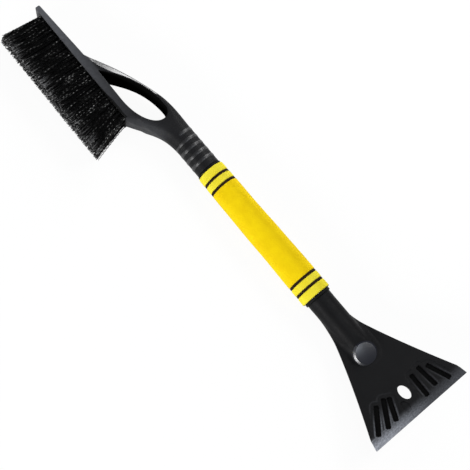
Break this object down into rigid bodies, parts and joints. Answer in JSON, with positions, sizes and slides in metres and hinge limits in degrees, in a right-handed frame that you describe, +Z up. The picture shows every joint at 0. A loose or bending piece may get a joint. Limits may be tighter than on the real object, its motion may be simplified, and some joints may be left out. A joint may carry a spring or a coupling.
{
  "type": "snow brush with ice scraper",
  "caption": "Hand snow brush and ice scraper: bristle bar with a finger loop, striped foam grip on a tube, cranked fan-shaped blade with a hanging hole.",
  "frame": {"origin": "on the surface the tool lies on, under the middle of its bounding box", "axes": "+X along the handle from the brush to the scraper's edge, -Y the way the bristles point, +Z up from the surface"},
  "size_m": [0.598, 0.1498, 0.0403],
  "materials": {
    "frame_plastic": "satin moulded black plastic",
    "scraper_plastic": "satin moulded black plastic",
    "collar_plastic": "satin black plastic",
    "foam_yellow": "matte closed-cell foam, yellow",
    "foam_black": "matte closed-cell foam, black",
    "bristle_nylon": "black bristle filament",
    "tube_metal": "drawn tube, plain"
  },
  "bodies": {
    "handle": {"handle_tube": "tube_metal", "scraper_head": "scraper_plastic", "upper_collar": "collar_plastic", "lower_collar": "collar_plastic", "grip_sleeve": "foam_yellow", "upper_inner_band": "foam_yellow", "upper_outer_band": "foam_yellow", "lower_inner_band": "foam_yellow", "lower_outer_band": "foam_yellow", "upper_inner_stripe": "foam_black", "upper_outer_stripe": "foam_black", "lower_inner_stripe": "foam_black", "lower_outer_stripe": "foam_black"},
    "brush": {"brush_frame": "frame_plastic", "bristle_row_1": "bristle_nylon", "bristle_row_2": "bristle_nylon", "bristle_row_3": "bristle_nylon", "bristle_row_4": "bristle_nylon"}
  },
  "joints": [
    {"name": "brush_pull_off", "type": "slide", "parent": "handle", "child": "brush", "axis": [-1, 0, 0], "range_m": [0, 0.06]}
  ]
}
